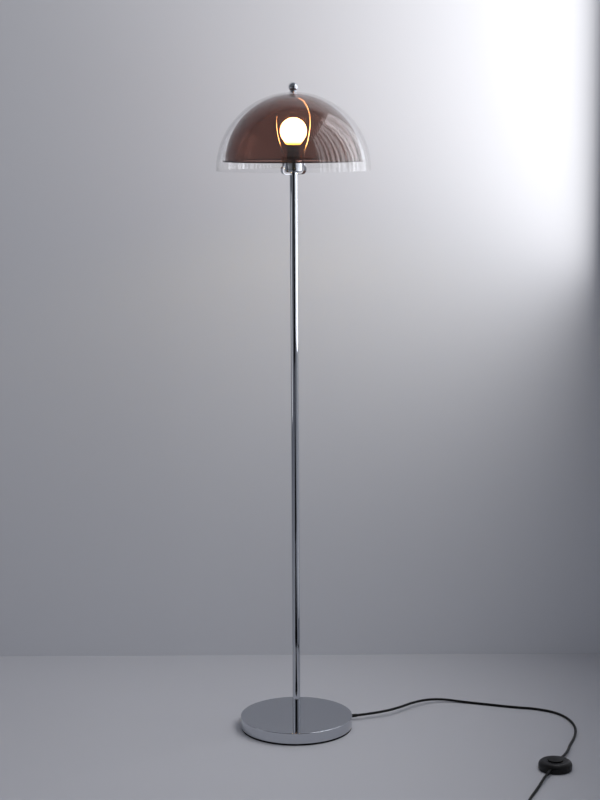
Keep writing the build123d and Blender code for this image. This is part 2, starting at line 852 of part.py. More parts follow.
stud_top = finial_seat + finial_bore_depth - 1
with BuildPart() as harp_stud:
    with BuildSketch(Plane.XZ):
        with BuildLine():
            Polyline(
                (0, eye_low - 2 * seat_gap - stud_head_t),
                (stud_head_d / 2, eye_low - 2 * seat_gap - stud_head_t),
                (stud_head_d / 2, eye_low - 2 * seat_gap),
                (stud_shank_d / 2, eye_low - 2 * seat_gap),
                (stud_shank_d / 2, flange_low),
                (stud_flange_d / 2, flange_low),
                (stud_flange_d / 2, flange_top),
                (stud_thread_d / 2, flange_top),
                (stud_thread_d / 2, stud_top - 0.8),
                (stud_thread_d / 2 - 0.8, stud_top),
                (0, stud_top),
                close=True,
            )
        make_face()
    revolve(axis=Axis.Z)
harp_stud.part.label = "harp_stud"
export_step(harp_stud.part, "parts/harp_stud.step")

dome_gasket = ring(stud_thread_d + 2 * fit, gasket_d, flange_top, gasket_t)
dome_gasket.part.label = "dome_gasket"
export_step(dome_gasket.part, "parts/dome_gasket.step")

dome_spacer = ring(stud_thread_d + 2 * fit, spacer_d, spacer_low, spacer_t)
dome_spacer.part.label = "dome_spacer"
export_step(dome_spacer.part, "parts/dome_spacer.step")

ball_r = finial_ball_d / 2
ball_z = finial_seat + finial_ball_rise
neck_r = finial_neck_d / 2
neck_z = ball_z - sqrt(ball_r**2 - neck_r**2)
bore_r = stud_thread_d / 2 + fit
with BuildPart() as finial:
    with BuildSketch(Plane.XZ):
        with BuildLine():
            Polyline(
                (0, ball_z + ball_r),
                (0, finial_seat + finial_bore_depth),
                (bore_r, finial_seat + finial_bore_depth),
                (bore_r, finial_seat),
                (finial_collar_d / 2, finial_seat),
                (finial_collar_d / 2, finial_seat + finial_collar_t),
                (neck_r, neck_z),
            )
            ThreePointArc((neck_r, neck_z), (ball_r, ball_z), (0, ball_z + ball_r))
        make_face()
    revolve(axis=Axis.Z)
    circles = finial.edges().filter_by(GeomType.CIRCLE)
    lip = circles.filter_by(lambda e: abs(e.radius - finial_collar_d / 2) < 0.01)
    fillet(lip, 0.35 * finial_collar_t)
finial.part.label = "finial"
export_step(finial.part, "parts/finial.step")

# ---------------------------------------------------------------- lead inside the lamp

lead_bend = stud_foot - (pad_t + cord_r + 0.5)
lead_low = stud_foot - lead_bend
lead_points = [
    bearing(boot_bearing, boot_tip, boot_z),
    bearing(boot_bearing, base_d / 2 - 6, boot_z),
    bearing(boot_bearing, well_d / 2, lead_low),
    (0, 0, lead_low),
    (0, 0, nipple_top),
]
with BuildPart() as pole_lead:
    with BuildLine() as lead_route:
        FilletPolyline(*lead_points, radius=[4 * cord_d, 4 * cord_d, lead_bend])
    with BuildSketch(Plane(origin=lead_points[0], z_dir=bearing(boot_bearing + 180, 1))):
        Circle(cord_r)
    sweep(path=lead_route.wires()[0])
pole_lead.part.label = "pole_lead"
export_step(pole_lead.part, "parts/pole_lead.step")

# ---------------------------------------------------------------- foot switch

switch_centre = Vector(switch_x, switch_y, 0)
outlet_dir = Vector(*bearing(switch_bearing, 1))
switch_axis = Axis((switch_x, switch_y, 0), (0, 0, 1))
switch_section = Plane(origin=switch_centre, x_dir=outlet_dir, z_dir=outlet_dir.cross(Vector(0, 0, 1)))
switch_plan = Plane(origin=switch_centre, x_dir=outlet_dir, z_dir=(0, 0, 1))
switch_r = switch_d / 2
entry_z = switch_split_z
lower_low = switch_pad_t
lower_floor = lower_low + switch_floor_t
boss_spots = [(boss_ring_r * cos(radians(a)), boss_ring_r * sin(radians(a))) for a in (90, 210, 330)]
entry_hole_r = switch_neck_d / 2 + fit


def entry_plane(side, distance):
    """A plane square to the cord at its entry into the switch, on the outlet or the inlet side."""
    return Plane(
        origin=switch_centre + outlet_dir * (side * distance) + Vector(0, 0, entry_z),
        z_dir=outlet_dir * side,
    )


with BuildPart() as switch_pad:
    with BuildSketch(switch_plan):
        Circle(switch_pad_d / 2)
        Circle(switch_pad_bore / 2, mode=Mode.SUBTRACT)
    extrude(amount=switch_pad_t)
switch_pad.part.label = "switch_pad"
export_step(switch_pad.part, "parts/switch_pad.step")

with BuildPart() as switch_lower:
    with BuildSketch(switch_section):
        with BuildLine():
            Polyline(
                (0, lower_low),
                (switch_r - 1.2, lower_low),
                (switch_r, lower_low + 1.2),
                (switch_r, switch_split_z),
                (switch_r - switch_wall, switch_split_z),
                (switch_r - switch_wall, lower_floor),
                (0, lower_floor),
                close=True,
            )
        make_face()
    revolve(axis=switch_axis)
    with BuildSketch(switch_plan.offset(lower_floor)):
        with Locations(*boss_spots):
            Circle(boss_d / 2)
    extrude(amount=switch_split_z - lower_floor)
    with BuildSketch(switch_plan.offset(lower_low)):
        with Locations(*boss_spots):
            Circle(switch_screw_d / 2 + fit)
    extrude(amount=switch_split_z, mode=Mode.SUBTRACT)
    with BuildSketch(switch_plan.offset(lower_low)):
        with Locations(*boss_spots):
            Circle(switch_head_d / 2 + fit)
    extrude(amount=switch_head_t + fit, mode=Mode.SUBTRACT)
    for side in (-1, 1):
        with BuildSketch(entry_plane(side, switch_r - 3 * switch_wall)):
            Circle(entry_hole_r)
        extrude(amount=6 * switch_wall, mode=Mode.SUBTRACT)
switch_lower.part.label = "switch_lower"
export_step(switch_lower.part, "parts/switch_lower.step")

lip_under = switch_top_z - switch_wall
shell_edge = switch_crown_d / 2
with BuildPart() as switch_upper:
    with BuildSketch(switch_section):
        with BuildLine():
            l1 = Line((button_d / 2 + slip, switch_top_z), (shell_edge, switch_top_z))
            l2 = TangentArc(l1 @ 1, (switch_r, switch_split_z), tangent=(1, 0))
            l3 = Line(l2 @ 1, (switch_r - switch_wall, switch_split_z))
            l4 = TangentArc((shell_edge, lip_under), l3 @ 1, tangent=(1, 0))
            l5 = Line(l4 @ 0, (button_d / 2 + slip, lip_under))
            Line(l5 @ 1, l1 @ 0)
        make_face()
    revolve(axis=switch_axis)
    with BuildSketch(switch_plan.offset(switch_split_z)):
        with Locations(*boss_spots):
            Circle(boss_d / 2)
    extrude(amount=boss_top_z - switch_split_z)
    with BuildSketch(switch_plan.offset(switch_split_z)):
        with Locations(*boss_spots):
            Circle(switch_screw_d / 2 + fit)
    extrude(amount=switch_screw_top - switch_split_z + slip, mode=Mode.SUBTRACT)
    for side in (-1, 1):
        with BuildSketch(entry_plane(side, switch_r - 3 * switch_wall)):
            Circle(entry_hole_r)
        extrude(amount=6 * switch_wall, mode=Mode.SUBTRACT)
    mouth = switch_upper.edges().filter_by(GeomType.CIRCLE).group_by(Axis.Z)[-1].sort_by(SortBy.RADIUS)[0]
    fillet(mouth, 0.5)
switch_upper.part.label = "switch_upper"
export_step(switch_upper.part, "parts/switch_upper.step")

flange_top_z = lip_under - slip
button_ceiling = button_top_z - button_wall
with BuildPart() as switch_button:
    with BuildSketch(switch_section):
        with BuildLine():
            l1 = ThreePointArc(
                (0, button_top_z),
                (button_d / 4, button_top_z - button_dish / 4),
                (button_d / 2, button_top_z - button_dish),
            )
            Polyline(
                l1 @ 1,
                (button_d / 2, flange_top_z),
                (button_flange_d / 2, flange_top_z),
                (button_flange_d / 2, flange_top_z - button_flange_t),
                (button_d / 2 - 2, flange_top_z - button_flange_t),
                (button_d / 2 - 2, button_ceiling - 0.6),
                (button_d / 2 - 4, button_ceiling),
                (button_post_d / 2, button_ceiling),
                (button_post_d / 2, lower_floor + block_size[2] + plunger_h + button_travel + slip),
                (0, lower_floor + block_size[2] + plunger_h + button_travel + slip),
                l1 @ 0,
            )
        make_face()
    revolve(axis=switch_axis)
    circles = switch_button.edges().filter_by(GeomType.CIRCLE)
    rounds = circles.filter_by(lambda e: abs(e.radius - button_d / 2) < 0.01)
    fillet(rounds.sort_by(Axis.Z)[-1], 0.8)
switch_button.part.label = "switch_button"
export_step(switch_button.part, "parts/switch_button.step")

block_top = lower_floor + block_size[2]
with BuildPart() as switch_block:
    with BuildSketch(switch_plan.offset(lower_floor)):
        Rectangle(block_size[0], block_size[1])
    extrude(amount=block_size[2])
    with BuildSketch(switch_plan.offset(block_top)):
        Circle(plunger_d / 2)
    extrude(amount=plunger_h)
switch_block.part.label = "switch_block"
export_step(switch_block.part, "parts/switch_block.step")

spring_low = block_top + spring_wire / 2 + seat_gap
spring_high = button_ceiling - spring_wire / 2 - seat_gap
spring_r = (spring_d - spring_wire) / 2
with BuildPart() as switch_spring:
    with BuildLine(Plane(origin=(switch_x, switch_y, spring_low))) as coil_line:
        Helix((spring_high - spring_low) / spring_turns, spring_high - spring_low, spring_r)
    spring_path = coil_line.wires()[0]
    with BuildSketch(Plane(origin=spring_path @ 0, z_dir=spring_path % 0)):
        Circle(spring_wire / 2)
    sweep(path=spring_path)
switch_spring.part.label = "switch_spring"
export_step(switch_spring.part, "parts/switch_spring.step")

with BuildPart() as switch_screws:
    with BuildSketch(switch_plan.offset(lower_low + fit)):
        with Locations(*boss_spots):
            Circle(switch_head_d / 2)
    extrude(amount=switch_head_t - fit)
    with BuildSketch(switch_plan.offset(lower_low + switch_head_t)):
        with Locations(*boss_spots):
            Circle(switch_screw_d / 2)
    extrude(amount=switch_screw_top - lower_low - switch_head_t)
switch_screws.part.label = "switch_screws"
export_step(switch_screws.part, "parts/switch_screws.step")

neck_in = switch_r - switch_wall - switch_collar_gap
for side, name in ((-1, "inlet_boot"), (1, "outlet_boot")):
    with BuildPart() as boot:
        with BuildSketch(entry_plane(side, neck_in - switch_collar_t)):
            Circle(switch_collar_d / 2)
        extrude(amount=switch_collar_t)
        with BuildSketch(entry_plane(side, neck_in)):
            Circle(switch_neck_d / 2)
        extrude(amount=switch_r - neck_in)
        with BuildSketch(entry_plane(side, switch_r)):
            Circle(switch_boot_d / 2)
        with BuildSketch(entry_plane(side, switch_r + switch_boot_length)):
            Circle(switch_boot_tip_d / 2)
        loft()
    boot.part.label = name
    export_step(boot.part, f"parts/{name}.step")

with BuildPart() as switch_leads:
    for side in (-1, 1):
        with BuildSketch(entry_plane(side, block_size[0] / 2)):
            Circle(cord_r)
        extrude(amount=neck_in - switch_collar_t - block_size[0] / 2)
switch_leads.part.label = "switch_leads"
export_step(switch_leads.part, "parts/switch_leads.step")

# ---------------------------------------------------------------- cord

boot_tip_reach = switch_r + switch_boot_length
straight = 4 * cord_d  # of cord in line with a boot
inlet_tip = tuple(entry_plane(-1, boot_tip_reach).origin)
inlet_run = tuple(entry_plane(-1, boot_tip_reach + straight).origin)
outlet_tip = tuple(entry_plane(1, boot_tip_reach).origin)
outlet_run = tuple(entry_plane(1, boot_tip_reach + straight).origin)

cord_to_switch = cord_tube(
    [
        bearing(boot_bearing, boot_tip, boot_z),
        bearing(boot_bearing, boot_tip + 36, boot_z),
        (236, 80, 14),
        (298, 150, 12),
        (353, 179, 7),
        (412, 165, floor_z),
        (470, 145, floor_z),
        (528, 124, floor_z),
        (584, 112, floor_z),
        (632, 80, floor_z),
        (656, 26, floor_z),
        (659, -36, floor_z),
        (646, -94, floor_z),
        (628, -142, floor_z),
        (618, -181, 5.5),
        inlet_run,
        inlet_tip,
    ],
    "cord_to_switch",
)
cord_to_switch.part.label = "cord_to_switch"
export_step(cord_to_switch.part, "parts/cord_to_switch.step")

coil_low = floor_z + coil_lift
coil_start = (coil_x + coil_r, coil_y + cord_d, coil_low)
cord_to_plug = cord_tube(
    [
        outlet_tip,
        outlet_run,
        (525, -394, 4.5),
        (507, -436, floor_z),
        (491, -476, floor_z),
        (coil_x + coil_r, -512, coil_low),
        coil_start,
    ],
    "cord_to_plug",
)
cord_to_plug.part.label = "cord_to_plug"
export_step(cord_to_plug.part, "parts/cord_to_plug.step")


def coil_point(turns):
    """A point of the coil's centre line: clockwise from above, inwards below and outwards on top."""
    inwards = min(turns, coil_turns_in)
    outwards = max(turns - coil_turns_in, 0)
    radius = coil_r - coil_pitch * (inwards - outwards)
    climb = min(max((turns - coil_turns_in + 0.25) / 0.5, 0), 1)
    height = coil_low + coil_layer * climb * climb * (3 - 2 * climb)
    angle = -2 * pi * turns
    return Vector(coil_x + radius * cos(angle), coil_y + radius * sin(angle), height)


def coil_heading(turns):
    """The direction of the coil's centre line at a point."""
    step = 0.001
    return (coil_point(turns + step) - coil_point(turns - step)).normalized()


def biarc(start, start_dir, end, end_dir):
    """Two arcs that join at a common tangent between two points with given directions."""
    chord = end - start
    along = chord.dot(start_dir + end_dir)
    square = 2 * (1 - start_dir.dot(end_dir))
    reach = (-along + sqrt(along**2 + square * chord.dot(chord))) / square
    middle = (start + start_dir * reach + end - end_dir * reach) * 0.5
    TangentArc(start, middle, tangent=start_dir)
    heading = (end - end_dir * reach - start - start_dir * reach).normalized()
    TangentArc(middle, end, tangent=heading)


quarter = 0.25
coil_knots = [quarter * n for n in range(int(coil_turns / quarter) + 1)]
first_dir = Vector(0, -1, 0)
last_dir = Vector(-1, 0, 0)
headings = [first_dir] + [coil_heading(t) for t in coil_knots[1:-1]] + [last_dir]
coil_end = coil_point(coil_turns) + last_dir * cord_d
with BuildPart() as cord_coil:
    with BuildLine() as coil_route:
        Line(coil_start, coil_point(0))
        for n in range(len(coil_knots) - 1):
            biarc(coil_point(coil_knots[n]), headings[n], coil_point(coil_knots[n + 1]), headings[n + 1])
        Line(coil_point(coil_turns), coil_end)
    with BuildSketch(Plane(origin=coil_start, z_dir=first_dir)):
        Circle(cord_r)
    sweep(path=coil_route.wires()[0])
cord_coil.part.label = "cord_coil"
export_step(cord_coil.part, "parts/cord_coil.step")


def coil_gap(wire, step=4.0):
    """The least gap of the coil to itself, on points a few millimetres apart."""
    count = int(wire.length / step)
    points = [wire @ (n / count) for n in range(count + 1)]
    near = 2 * cord_d  # along the cord, nearer points are the same stretch
    skip = int(near / step) + 1
    least = min(
        (points[i] - points[j]).length for i in range(len(points)) for j in range(i + skip, len(points))
    )
    return least - cord_d


coil_wire = coil_route.wires()[0]
print("cord_coil length", round(coil_wire.length, 1), "least gap", round(coil_gap(coil_wire), 2))

tie_in = coil_r - coil_pitch * 2 - cord_r - tie_play
tie_out = coil_r - coil_pitch / 2 + cord_r + tie_play
tie_high = coil_low + coil_layer + cord_r + tie_play / 2
with BuildPart() as coil_tie:
    with BuildSketch(Plane(origin=(coil_x, coil_y, 0), x_dir=(-1, 0, 0), z_dir=(0, 1, 0))):
        with Locations(((tie_in + tie_out) / 2, (floor_gap + tie_high + tie_t) / 2)):
            Rectangle(tie_out - tie_in + 2 * tie_t, tie_high + tie_t - floor_gap)
        with Locations(((tie_in + tie_out) / 2, (floor_gap + tie_t + tie_high) / 2)):
            Rectangle(tie_out - tie_in, tie_high - floor_gap - tie_t, mode=Mode.SUBTRACT)
    extrude(amount=tie_w / 2, both=True)
    fillet(coil_tie.edges().filter_by(Axis.Y), 0.3 * tie_t)
coil_tie.part.label = "coil_tie"
export_step(coil_tie.part, "parts/coil_tie.step")

# ---------------------------------------------------------------- plug

plug_z = plug_thickness / 2 + floor_gap
plug_y = -583
plug_boot_x = coil_x - 78
cord_end = cord_tube(
    [
        tuple(coil_end),
        (coil_x - 28, coil_end.Y, coil_end.Z),
        (coil_x - 52, plug_y, plug_z),
        (plug_boot_x, plug_y, plug_z),
    ],
    "cord_end",
)
cord_end.part.label = "cord_end"
export_step(cord_end.part, "parts/cord_end.step")

plug_tail = plug_boot_x - plug_boot_length
plug_face = plug_tail - plug_length
along_plug = Plane(origin=(0, plug_y, plug_z), x_dir=(0, 1, 0), z_dir=(-1, 0, 0))

with BuildPart() as plug_boot:
    with BuildSketch(along_plug.offset(-plug_boot_x)):
        Circle(plug_boot_tip_d / 2)
    with BuildSketch(along_plug.offset(-plug_tail)):
        Circle(plug_boot_d / 2)
    loft()
plug_boot.part.label = "plug_boot"
export_step(plug_boot.part, "parts/plug_boot.step")

with BuildPart() as plug_body:
    with BuildSketch(Plane.XY.offset(floor_gap)):
        with BuildLine():
            Polyline(
                (plug_tail, plug_y - plug_tail_w / 2),
                (plug_tail, plug_y + plug_tail_w / 2),
                (plug_tail - plug_length / 2, plug_y + plug_face_w / 2),
                (plug_face, plug_y + plug_face_w / 2),
                (plug_face, plug_y - plug_face_w / 2),
                (plug_tail - plug_length / 2, plug_y - plug_face_w / 2),
                close=True,
            )
        make_face()
    extrude(amount=plug_thickness)
    fillet(plug_body.edges().filter_by(Axis.Z), plug_round)
    fillet(plug_body.edges().group_by(Axis.Z)[-1], 0.6 * plug_round)
    fillet(plug_body.edges().group_by(Axis.Z)[0], 0.6 * plug_round)
    with BuildSketch(along_plug.offset(-plug_face)):
        with Locations((-pin_spacing / 2, 0), (pin_spacing / 2, 0)):
            Circle(pin_d / 2 + fit)
    extrude(amount=-plug_length / 4, mode=Mode.SUBTRACT)
plug_body.part.label = "plug_body"
export_step(plug_body.part, "parts/plug_body.step")

with BuildPart() as plug_pins:
    with BuildSketch(along_plug.offset(-plug_face - plug_length / 4)):
        with Locations((-pin_spacing / 2, 0), (pin_spacing / 2, 0)):
            Circle(pin_core_d / 2)
    extrude(amount=plug_length / 4 + sleeve_length)
    with BuildSketch(along_plug.offset(-plug_face + sleeve_length)):
        with Locations((-pin_spacing / 2, 0), (pin_spacing / 2, 0)):
            Circle(pin_d / 2)
    extrude(amount=pin_length - sleeve_length)
    tips = plug_pins.faces().filter_by(Axis.X).group_by(Axis.X)[0]
    fillet(tips.edges(), 0.4 * pin_d)
plug_pins.part.label = "plug_pins"
export_step(plug_pins.part, "parts/plug_pins.step")

with BuildPart() as pin_sleeves:
    with BuildSketch(along_plug.offset(-plug_face - plug_length / 4)):
        with Locations((-pin_spacing / 2, 0), (pin_spacing / 2, 0)):
            Circle(sleeve_d / 2)
            Circle(pin_core_d / 2 + fit, mode=Mode.SUBTRACT)
    extrude(amount=plug_length / 4 + sleeve_length - fit)
pin_sleeves.part.label = "pin_sleeves"
export_step(pin_sleeves.part, "parts/pin_sleeves.step")

print("height", round(ball_z + ball_r, 1), "inner rim", round(flange_z, 1), "outer rim", round(outer_c, 1))
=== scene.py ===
import math

import bpy
from mathutils import Matrix, Vector


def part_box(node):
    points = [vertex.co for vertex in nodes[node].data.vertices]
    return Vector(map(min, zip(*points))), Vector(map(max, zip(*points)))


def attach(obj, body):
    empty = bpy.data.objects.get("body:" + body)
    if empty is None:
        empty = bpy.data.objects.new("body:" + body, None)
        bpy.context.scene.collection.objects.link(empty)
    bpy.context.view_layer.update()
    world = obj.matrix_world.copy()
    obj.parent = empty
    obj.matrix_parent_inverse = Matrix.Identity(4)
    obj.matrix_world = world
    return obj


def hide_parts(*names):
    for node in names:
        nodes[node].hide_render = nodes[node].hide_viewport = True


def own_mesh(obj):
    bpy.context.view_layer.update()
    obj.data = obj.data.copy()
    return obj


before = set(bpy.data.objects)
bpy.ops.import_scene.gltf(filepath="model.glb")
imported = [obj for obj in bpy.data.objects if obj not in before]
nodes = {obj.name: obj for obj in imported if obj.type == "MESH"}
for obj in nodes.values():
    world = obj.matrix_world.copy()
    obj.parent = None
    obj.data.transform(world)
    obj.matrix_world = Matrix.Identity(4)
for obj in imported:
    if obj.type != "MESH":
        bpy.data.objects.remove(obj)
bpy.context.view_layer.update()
bpy.ops.object.select_all(action="DESELECT")

# ---------------------------------------------------------------- camera
# The photograph's viewpoint: four metres in front of the lamp, a little above the shade's rim,
# tipped down to take in the base, through a long lens.

CAMERA_PLACE = (0.012, -4.047, 1.431)
TIPPED_DOWN = 9.06  # degrees
ROLL = -0.28  # degrees
FOCAL_LENGTH = 1777  # in pixels of the photograph
PHOTO_HEIGHT = 800  # pixels

bpy.ops.object.camera_add(location=CAMERA_PLACE)
camera = bpy.context.object
camera.name = "photo_camera"
camera.matrix_world = (
    Matrix.Translation(CAMERA_PLACE)
    @ Matrix.Rotation(math.radians(90 - TIPPED_DOWN), 4, "X")
    @ Matrix.Rotation(math.radians(ROLL), 4, "Z")
)
camera.data.lens = FOCAL_LENGTH * camera.data.sensor_width / PHOTO_HEIGHT
camera.data.clip_end = 60
bpy.context.scene.camera = camera

# ---------------------------------------------------------------- room
# A plain pale room: a painted floor and one wall behind the lamp, in a cool matt grey. The wall
# shows only from its front, so that the lamp can be looked at from behind.

WALL_Y = 0.57
WALL_HEIGHT = 4.4
ROOM_WIDTH = 9
FLOOR_DEPTH = 6.6


def linear(colour):
    """An sRGB hex colour as the linear colour that a shader takes."""
    parts = [int(colour[i : i + 2], 16) / 255 for i in (1, 3, 5)]
    return (*(p / 12.92 if p <= 0.04045 else ((p + 0.055) / 1.055) ** 2.4 for p in parts), 1.0)


def add_node(tree, kind, settings=None, links=None):
    """Adds a shader node, sets its properties or inputs, and links its inputs to other sockets."""
    node = tree.nodes.new(kind)
    for name, value in (settings or {}).items():
        if isinstance(name, int) or name in node.inputs:
            node.inputs[name].default_value = value
        else:
            setattr(node, name, value)
    for name, socket in (links or {}).items():
        tree.links.new(socket, node.inputs[name])
    return node


def new_material(name):
    """An empty material and its node tree."""
    material = bpy.data.materials.new(name)
    material.use_nodes = True
    material.node_tree.nodes.clear()
    return material, material.node_tree


def finish_material(tree, surface):
    """Links a shader to the material's output."""
    add_node(tree, "ShaderNodeOutputMaterial", links={"Surface": surface})


def wear(piece, material):
    """Puts one material on a piece or on the CAD node of that name."""
    piece = nodes[piece] if isinstance(piece, str) else piece
    if not piece.material_slots:
        piece.data.materials.append(material)
    for slot in piece.material_slots:
        slot.material = material


def matt_paint(name, darker, lighter):
    """Rolled matt emulsion, seen from its front only. It has no shine, only a faint mottle, drawn
    as clouds of 0.6 m because the roller's own grain is too fine to show."""
    material, tree = new_material(name)
    place = add_node(tree, "ShaderNodeTexCoord")
    mottle = add_node(
        tree, "ShaderNodeTexNoise", {"Scale": 1.6, "Detail": 3.0},
        {"Vector": place.outputs["Object"]},
    )
    colour = add_node(
        tree, "ShaderNodeMix", {"data_type": "RGBA", 6: linear(darker), 7: linear(lighter)},
        {0: mottle.outputs["Fac"]},
    )
    paint = add_node(
        tree, "ShaderNodeBsdfPrincipled", {"Roughness": 0.85, "Specular IOR Level": 0.0},
        {"Base Color": colour.outputs[2]},
    )
    hidden = add_node(tree, "ShaderNodeBsdfTransparent")
    back = add_node(tree, "ShaderNodeNewGeometry")
    one_sided = add_node(
        tree, "ShaderNodeMixShader",
        links={0: back.outputs["Backfacing"], 1: paint.outputs[0], 2: hidden.outputs[0]},
    )
    finish_material(tree, one_sided.outputs[0])
    return material


bpy.ops.mesh.primitive_plane_add(size=1, location=(0, -2.7, 0))
floor = bpy.context.object
floor.name = "floor"
floor.scale = (ROOM_WIDTH, FLOOR_DEPTH, 1)
wear(floor, matt_paint("grey_floor_paint", "#BBBDC6", "#C3C5CC"))

bpy.ops.mesh.primitive_plane_add(
    size=1, location=(0, WALL_Y, WALL_HEIGHT / 2), rotation=(math.radians(90), 0, 0)
)
wall = bpy.context.object
wall.name = "wall"
wall.scale = (ROOM_WIDTH, WALL_HEIGHT, 1)
wear(wall, matt_paint("pale_wall_paint", "#C9CBD3", "#D2D4DA"))

# ---------------------------------------------------------------- light
# Upright strips of light stand close to the lamp on the right, and one more stands further off on
# the left. They show only in what is polished, as bright lines. What is matt is lit softly from
# above, from the right and from the left, by lights that no polished piece mirrors. Dim cards,
# seen only in what is polished, give the chrome its dark stripe as a painted reflection of shade.

STRIPS_X = 0.76
STRIPS_FOOT = 0.05
STRIPS_STEP = 0.8  # below this height the strips are dim
STRIPS_HEAD = 2.5
STRIP_COLOUR = (0.93, 0.95, 1.0)
CLEAR_OF_STRIPS = 0.03  # lights in one plane hide one another, so the daylight stands further out
DAYLIGHT_COLOUR = (1.0, 0.98, 0.95)
ROOM_COLOUR = (0.96, 0.98, 1.0)


def soft_light(name, place, aim, size, brightness, colour):
    """A flat light at a place, turned to an aim, of one brightness all over."""
    bpy.ops.object.light_add(type="AREA", location=place)
    light = bpy.context.object
    light.name = name
    light.rotation_euler = (Vector(aim) - Vector(place)).to_track_quat("-Z", "Y").to_euler()
    light.data.shape = "RECTANGLE"
    light.data.size, light.data.size_y = size
    light.data.energy = brightness * size[0] * size[1] * math.pi
    light.data.color = colour
    light.visible_camera = False
    return light


light_strips = [  # width, gap after it, brightness, from the wall towards the camera
    (0.10, 0.02, 3.4),
    (0.09, 0.03, 2.6),
    (0.08, 0.05, 2.2),
    (0.10, 0.04, 4.0),
    (0.06, 0.05, 7.0),
    (0.05, 0.07, 3.4),
    (0.10, 0.05, 2.4),
    (0.05, 0.07, 3.4),
    (0.09, 0.07, 1.9),
    (0.05, 0.09, 2.3),
    (0.12, 0.07, 1.5),
    (0.07, 0.06, 1.8),
]
near_edge = WALL_Y
for number, (width, gap, brightness) in enumerate(light_strips):
    middle = near_edge - width / 2
    near_edge -= width + gap
    for part, low, high, share in (
        ("upper", STRIPS_STEP, STRIPS_HEAD, 1.0),
        ("lower", STRIPS_FOOT, STRIPS_STEP, 0.12),
    ):
        half_way = (low + high) / 2
        strip = soft_light(
            f"strip_{number}_{part}", (STRIPS_X, middle, half_way), (0, middle, half_way),
            (width, high - low), brightness * share, STRIP_COLOUR,
        )
        strip.visible_diffuse = False

for name, near, far, low, high, brightness in (
    ("daylight_by_wall", 0.5, -0.3, 1.02, 2.9, 4.2),
    ("daylight", -0.34, -1.4, 0.8, 3.1, 1.6),
):
    middle = ((near + far) / 2, (low + high) / 2)
    for side, x, aim, share in (
        ("in", STRIPS_X + CLEAR_OF_STRIPS, 0, 1.0),
        ("out", STRIPS_X + CLEAR_OF_STRIPS + 0.02, 2, 0.5),
    ):
        daylight = soft_light(
            f"{name}_{side}", (x, *middle), (aim, *middle), (near - far, high - low),
            brightness * share, DAYLIGHT_COLOUR,
        )
        daylight.visible_glossy = False

for name, place, aim, size, brightness, colour in (
    ("ceiling", (-0.4, -1.9, 3.4), (-0.4, -1.9, 0), (4.4, 4.6), 0.21, ROOM_COLOUR),
    ("far_ceiling", (0, -5.4, 3.4), (0, -5.4, 0), (6.0, 3.2), 0.5, ROOM_COLOUR),
    ("left_room", (-2.6, -1.2, 1.7), (0, -1.2, 1.3), (3.6, 3.0), 0.1, (0.95, 0.97, 1.0)),
):
    room_light = soft_light(name, place, aim, size, brightness, colour)
    room_light.visible_glossy = False
left_strip = soft_light(
    "left_strip", (-2.55, -0.55, 0.72), (0, -0.55, 0.72), (0.9, 0.86), 1.0, (0.98, 0.98, 1.0)
)
left_strip.visible_diffuse = False

CARD_LIFT = 0.004  # of the cards that lie on the floor

# The unlit end of a room: one very dark, even tone, a dim glow that paints reflected shade.
dim_paint, tree = new_material("dim_room")
dim = add_node(tree, "ShaderNodeEmission", {"Color": linear("#0B0B0D"), "Strength": 1.0})
finish_material(tree, dim.outputs[0])


def dim_card(name, place, turn, size):
    """A dark plane that shows only in what is polished, as a painted reflection of shade."""
    bpy.ops.mesh.primitive_plane_add(size=1, location=place, rotation=turn)
    card = bpy.context.object
    card.name = name
    card.scale = (*size, 1)
    wear(card, dim_paint)
    card.visible_camera = False
    card.visible_diffuse = False
    card.visible_shadow = False
    card.visible_transmission = False


dim_card("dark_room", (0.6, -6.2, 1.5), (math.radians(90), 0, 0), (5.4, 4.6))
# painted reflection: these dark cards lie on the floor only to paint shade into the chrome; the
# floor itself keeps its pale paint
dim_card("shade_card_near", (0.01, -0.42, CARD_LIFT), (0, 0, 0), (0.3, 0.38))
dim_card("shade_card_middle", (0.06, -1.2, CARD_LIFT), (0, 0, 0), (0.9, 1.18))
dim_card("shade_card_far", (0.3, -3.9, CARD_LIFT), (0, 0, 0), (1.9, 4.2))

world = bpy.data.worlds.new("soft_studio")
bpy.context.scene.world = world
world.use_nodes = True
background = world.node_tree.nodes["Background"]
background.inputs["Color"].default_value = linear("#B0B3BC")
background.inputs["Strength"].default_value = 0.34

bpy.context.scene.view_settings.view_transform = "Standard"
bpy.context.scene.view_settings.look = "None"
bpy.context.scene.cycles.transparent_max_bounces = 32
bpy.context.scene.cycles.use_denoising = True

# ---------------------------------------------------------------- chromed metal
# Base cover, pole, saddle, cup and ball are polished and then plated with bright chrome. The harp
# is bent from drawn wire and plated as it came from the die.

# Bright chrome plate mirrors the room sharply, with a bluish cast. The polishing wheel leaves it a
# faint haze in clouds of 26 mm and a ripple of 70 mm.
chrome, tree = new_material("bright_chrome_plate")
place = add_node(tree, "ShaderNodeTexCoord")
haze = add_node(
    tree, "ShaderNodeTexNoise", {"Scale": 38.0, "Detail": 4.0}, {"Vector": place.outputs["Object"]}
)
haze_range = add_node(
    tree, "ShaderNodeMapRange",
    {"From Min": 0.35, "From Max": 0.75, "To Min": 0.035, "To Max": 0.085},
    {"Value": haze.outputs["Fac"]},
)
ripple = add_node(
    tree, "ShaderNodeTexNoise", {"Scale": 14.0, "Detail": 1.0}, {"Vector": place.outputs["Object"]}
)
ripple_bump = add_node(
    tree, "ShaderNodeBump", {"Strength": 0.05, "Distance": 0.0006},
    {"Height": ripple.outputs["Fac"]},
)
plate = add_node(
    tree, "ShaderNodeBsdfPrincipled", {"Base Color": linear("#C4C7CD"), "Metallic": 1.0},
    {"Roughness": haze_range.outputs[0], "Normal": ripple_bump.outputs[0]},
)
finish_material(tree, plate.outputs[0])
